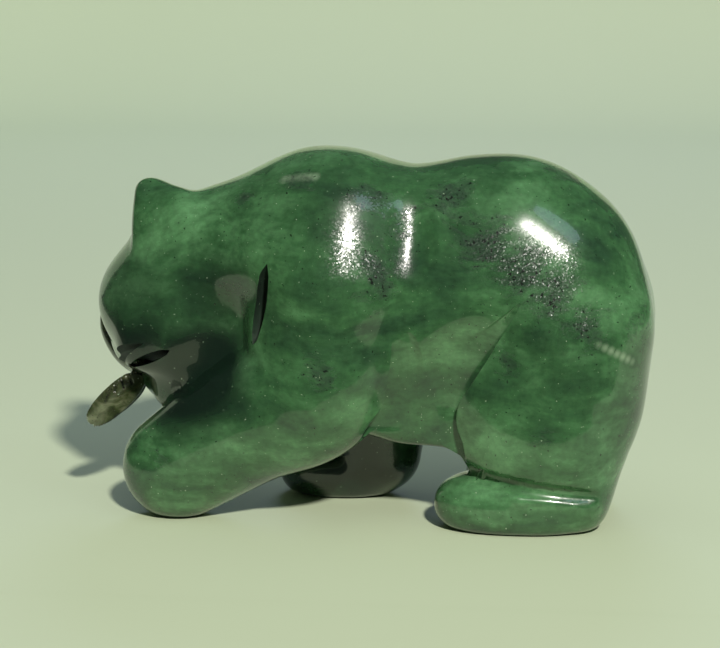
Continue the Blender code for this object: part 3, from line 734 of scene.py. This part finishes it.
def cloudedStone(tree, place, bed, look):  # clouds and wisps along the bed, mottled finely by the felt
    cloud = addNode(tree, "ShaderNodeTexNoise",
                    {"Vector": bed, "Scale": perMetre(look["cloudSize"]), "Detail": 4.0})
    wisp = addNode(tree, "ShaderNodeTexNoise",
                   {"Vector": bed, "Scale": perMetre(look["wispSize"]), "Detail": 4.0, "Roughness": 0.6})
    tone = addNode(tree, "ShaderNodeMix",
                   {"Factor": look["wispShare"], "A": cloud.outputs["Fac"], "B": wisp.outputs["Fac"]})
    stone = addNode(tree, "ShaderNodeValToRGB", {"Fac": tone})
    stops = stone.color_ramp.elements
    stops.new(1.0)
    for stop, position, colour in zip(stops, look["tones"], ("deep", "body", "pale")):
        stop.position, stop.color = position, toLinear(look[colour])
    felt = addNode(tree, "ShaderNodeTexNoise",
                   {"Vector": place, "Scale": perMetre(look["feltSize"]), "Detail": 4.0, "Roughness": 0.6})
    mottle = addNode(tree, "ShaderNodeMapRange", {"Value": felt, "From Min": 0.25, "From Max": 0.75,
                                                  "To Min": 1 - look["felt"], "To Max": 1 + look["felt"]})
    return addNode(tree, "ShaderNodeVectorMath", {0: stone, 3: mottle}, operation="SCALE")


def markedStone(tree, place, turned, colour, smoke, look):
    # painted shade over the shaded zones, then veins and smoke, then black specks thick in the drifts and
    # pale pits left by the grinding
    colour = tinted(tree, colour, zoneMask(tree, turned, look["paintedShadeZones"]), look["paintedShade"])
    for start, end, width, strength, tint in look["veins"]:
        beads = [(Vector(start).lerp(end, t / 6), width, strength) for t in range(7)]
        colour = tinted(tree, colour, zoneMask(tree, place, beads), look[tint])
    smoky = addNode(tree, "ShaderNodeMath", {0: smoke, 1: look["driftDepth"]}, operation="MULTIPLY")
    colour = tinted(tree, colour, smoky, look["smoke"])
    speck = addNode(tree, "ShaderNodeTexNoise",
                    {"Vector": place, "Scale": perMetre(look["fleckSize"]), "Detail": 2.0})
    limit = addNode(tree, "ShaderNodeMath", {0: smoke, 1: -look["driftFlecks"], 2: look["fleckLimit"]},
                    operation="MULTIPLY_ADD")
    over = addNode(tree, "ShaderNodeMath", {0: speck.outputs["Fac"], 1: limit}, operation="SUBTRACT")
    fleck = addNode(tree, "ShaderNodeMapRange",
                    {"Value": over, "From Min": 0.0, "From Max": look["fleckEdge"]})
    colour = tinted(tree, colour, fleck, look["fleck"])
    dent = addNode(tree, "ShaderNodeTexNoise",
                   {"Vector": place, "Scale": perMetre(look["pitSize"]), "Detail": 1.0, "Distortion": 0.4})
    low, high = look["pitLimit"]
    pit = addNode(tree, "ShaderNodeMapRange",
                  {"Value": dent.outputs["Fac"], "From Min": low, "From Max": high})
    return tinted(tree, colour, pit, look["pit"])


def glitteringNormals(tree, place, turned, smoke, torn, look):
    # each fibre end tips the surface its own way, most of all in the drifts and the open fields,
    # and the polish over it is tipped less
    grain = addNode(tree, "ShaderNodeTexVoronoi", {"Vector": place, "Scale": perMetre(look["glitterSize"])})
    lean = addNode(tree, "ShaderNodeVectorMath", {0: grain.outputs["Color"], 1: (0.5,) * 3},
                   operation="SUBTRACT")
    inDrift = addNode(tree, "ShaderNodeMath", {0: smoke, 1: look["driftGlitter"], 2: look["glitter"]},
                      operation="MULTIPLY_ADD")
    fields = zoneMask(tree, turned, look["fields"])
    field = addNode(tree, "ShaderNodeMath", {0: fields, 1: torn.outputs["Fac"]}, operation="MULTIPLY")
    amount = addNode(tree, "ShaderNodeMath", {0: field, 1: look["fieldGlitter"], 2: inDrift},
                     operation="MULTIPLY_ADD")
    tipped = addNode(tree, "ShaderNodeVectorMath", {0: lean, 3: amount}, operation="SCALE")
    less = addNode(tree, "ShaderNodeVectorMath", {0: tipped, 3: look["polishTip"]}, operation="SCALE")
    surface = addNode(tree, "ShaderNodeNewGeometry").outputs["Normal"]
    normals = []
    for tip in (tipped, less):
        tilted = addNode(tree, "ShaderNodeVectorMath", {0: surface, 1: tip}, operation="ADD")
        normals.append(addNode(tree, "ShaderNodeVectorMath", {0: tilted}, operation="NORMALIZE"))
    return normals


def finishJade(material, look):
    material.use_nodes = True
    tree = material.node_tree
    shader = tree.nodes["Principled BSDF"].inputs
    place, turned, bed = stoneBed(tree, look)
    smoke, torn = smokyDrifts(tree, turned, bed, look)
    clouded = cloudedStone(tree, place, bed, look)
    tree.links.new(markedStone(tree, place, turned, clouded, smoke, look), shader["Base Color"])
    normals = glitteringNormals(tree, place, turned, smoke, torn, look)
    for normal, socket in zip(normals, ("Normal", "Coat Normal")):
        tree.links.new(normal.outputs[0], shader[socket])
    dull = addNode(tree, "ShaderNodeMath", {0: smoke, 1: look["driftDulling"], 2: look["roughness"]},
                   operation="MULTIPLY_ADD")
    tree.links.new(dull.outputs[0], shader["Roughness"])
    for socket, value in (("Metallic", 0.0), ("IOR", look["ior"]), ("Specular IOR Level", look["specular"]),
                          ("Coat Weight", look["polish"]), ("Coat Roughness", look["polishRoughness"]),
                          ("Coat IOR", look["ior"]), ("Subsurface Weight", look["glow"]),
                          ("Subsurface Scale", look["glowDepth"]), ("Subsurface Radius", look["glowReach"])):
        shader[socket].default_value = value


# Olive jade, the same stone with more iron, cut thin: browner and clearer, with soft feathering,
# with painted shade along the cut rays of the tail and a little on the fish's far side

# painted shade: dark lines in the fleck colour along the cut rays of the tail
rayShadeLines = [(*(onLobe(*end) + Vector(cadMiddle) for end in ray), 0.55, 0.85, "fleck")
             for ray in tailRays]
oliveJade = dict(nephrite, veins=rayShadeLines, cloudSize=6.0, wispSize=1.6, swirlSize=9.0,
                 deep="#20261A", body="#3B4329", pale="#6C7257", smoke="#1B1F14", paintedShade="#14180F",
                 drifts=(((-58, -2, 26), 5, 0.4),), fields=(((-60, -2, 25), 4, 0.2),),
                 # painted shade on the fish's far side
                 paintedShadeZones=(((-64, 18, 38), 6, 0.2),))

# Inside the mouth and the cleft the stone is as the wheel left it: matt, and its colours are
# darkened as painted shade for these recesses
wheelCutJadePaintedShade = dict(nephrite, polish=0.0, roughness=0.6,
                    deep="#0F1B14", body="#15241A", pale="#1F3324", veins=nephrite["veins"][:1])

finishJade(bear.data.materials[polished], nephrite)
finishJade(bear.data.materials[wheelCutAndShade], wheelCutJadePaintedShade)
finishJade(fish.data.materials[polished], oliveJade)
print("stage: stone finished")


# Pale green paper: a sheet that runs up into a low back and left side. The polish mirrors this sheet
# and a dark room past its edges; the camera also sees a plain floor that goes on beyond it.

cove = {
    "left": -0.62, "right": 0.45, "back": 0.95,           # metres
    "corner": 0.4, "bend": 0.25, "height": 0.42,
    "front": -0.068, "cutFrom": -0.10, "cutRise": 0.38,   # the front edge swings back on the left
    "floorReach": 4.0, "floorGap": 0.00002,               # the plain floor lies this much lower
    "turnStep": 7.5,                                      # degrees
    "colour": "#BECAAB", "roughness": 0.9, "specular": 0.2,
}


def paper():  # uncoated, so it takes the light evenly and mirrors nothing
    material = bpy.data.materials.new("paleGreenPaperMatt")
    material.use_nodes = True
    shader = material.node_tree.nodes["Principled BSDF"].inputs
    shader["Base Color"].default_value = toLinear(cove["colour"])
    shader["Roughness"].default_value = cove["roughness"]
    shader["Specular IOR Level"].default_value = cove["specular"]
    return material


def coveSheet():
    left, back, corner, bend = (cove[k] for k in ("left", "back", "corner", "bend"))
    turns = np.radians(np.arange(0, 91, cove["turnStep"]))
    # the plan has a place and the way out of the cove there, the profile how far out and up it goes
    plan = [(left, cove["front"] + cove["cutRise"], -1, 0)]
    for turn in turns:
        out = (-math.cos(turn), math.sin(turn))
        plan.append((left + corner + corner * out[0], back - corner + corner * out[1], *out))
    plan.append((cove["right"], back, 0, 1))
    profile = [(-bend + bend * math.sin(turn), bend - bend * math.cos(turn)) for turn in turns]
    profile.append((0.0, cove["height"]))
    mesh = bmesh.new()
    rows = [[mesh.verts.new((x + outX * away, y + outY * away, z)) for away, z in profile]
            for x, y, outX, outY in plan]
    for before, after in zip(rows, rows[1:]):
        for k in range(len(profile) - 1):
            mesh.faces.new((before[k], after[k], after[k + 1], before[k + 1]))
    edge = [mesh.verts.new((x, cove["front"], 0)) for x in (cove["cutFrom"], cove["right"])]
    mesh.faces.new(edge + [row[0] for row in rows][::-1])
    sheet = meshObject("paperCove", mesh)
    sheet.data.shade_smooth()
    return sheet


def plainFloor():
    reach = cove["floorReach"]
    mesh = bmesh.new()
    mesh.faces.new([mesh.verts.new((x, y, -cove["floorGap"])) for x, y in
                    ((-reach, -reach), (reach, -reach), (reach, reach), (-reach, reach))])
    made = meshObject("plainFloor", mesh)
    made.visible_glossy = False
    return made


floor, farFloor = coveSheet(), plainFloor()
for sheet in (floor, farFloor):
    sheet.data.materials.append(paper())


# Camera at the photograph's place, and soft studio light

view = {
    "azimuth": 6.0, "elevation": 12.0, "distance": 520.0,   # degrees, degrees, mm
    "target": (-3.4, 0.0, 43.8),                            # mm, among the masses
    "mmPerPixel": 0.229, "pixelsAcross": 720,               # of the photograph, at the bear
    "sensor": 36.0,                                         # mm
}


def wayFrom(azimuth, elevation):  # towards a light or the camera, from the front and level
    turn, lift = math.radians(azimuth), math.radians(elevation)
    return Vector((math.sin(turn) * math.cos(lift), -math.cos(turn) * math.cos(lift), math.sin(lift)))


def placeCamera():
    back = wayFrom(view["azimuth"], view["elevation"])
    data = bpy.data.cameras.new("camera")
    data.sensor_width = view["sensor"]
    data.lens = view["sensor"] * view["distance"] / (view["mmPerPixel"] * view["pixelsAcross"])
    camera = bpy.data.objects.new("camera", data)
    bpy.context.scene.collection.objects.link(camera)
    camera.location = Vector(inCad(view["target"])) + back * view["distance"] * realUnit
    camera.rotation_euler = back.to_track_quat("Z", "Y").to_euler()
    bpy.context.scene.camera = camera


placeCamera()

aimHeight = 0.04  # metres, about the middle of the bear
lights = (
    # name, azimuth and elevation it shines from, distance and size in metres, watts, colour
    ("keyPanel", 22.0, 38.5, 2.2, 0.16, 57.0, "#FFFAF3"),
    ("skyPanel", 50.0, 50.0, 1.6, 0.45, 1.2, "#B9CDE6"),
    # the fills lighten the shadows and cool the paper behind, and the polish doesn't mirror them
    ("topFill", 0.0, 90.0, 1.3, 1.6, 5.0, "#D9E4EA"),
    ("backFill", 180.0, 35.0, 1.2, 0.5, 3.6, "#C2CBFF"),
)


def placeLight(name, azimuth, elevation, distance, size, watts, colour):
    data = bpy.data.lights.new(name, "AREA")
    data.shape = "DISK"
    data.size = size
    data.energy = watts
    data.color = toLinear(colour)[:3]
    light = bpy.data.objects.new(name, data)
    bpy.context.scene.collection.objects.link(light)
    way = wayFrom(azimuth, elevation)
    light.location = way * distance + Vector((0, 0, aimHeight))
    light.rotation_euler = way.to_track_quat("Z", "Y").to_euler()
    light.visible_glossy = not name.endswith("Fill")


for row in lights:
    placeLight(*row)

# A dim green-grey room for the polish to mirror; the camera sees a paler one past the paper
studio = {"room": "#9DB0A6", "roomStrength": 0.10, "seen": "#BCCAB9"}
world = bpy.data.worlds.new("studio")
world.use_nodes = True
tree = world.node_tree
room = tree.nodes["Background"]
room.inputs["Color"].default_value = toLinear(studio["room"])
room.inputs["Strength"].default_value = studio["roomStrength"]
seen = addNode(tree, "ShaderNodeBackground", {"Color": toLinear(studio["seen"])})
ray = addNode(tree, "ShaderNodeLightPath")
both = addNode(tree, "ShaderNodeMixShader", {0: ray.outputs["Is Camera Ray"], 1: room, 2: seen})
tree.links.new(both.outputs[0], tree.nodes["World Output"].inputs["Surface"])
bpy.context.scene.world = world
bpy.context.scene.view_settings.view_transform = "Standard"
print("stage: camera and light set")

for piece, node, finishSlot in ((bear, "bear", "green_jade"), (fish, "fish", "olive_jade")):
    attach(piece, "root")
    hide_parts(node)
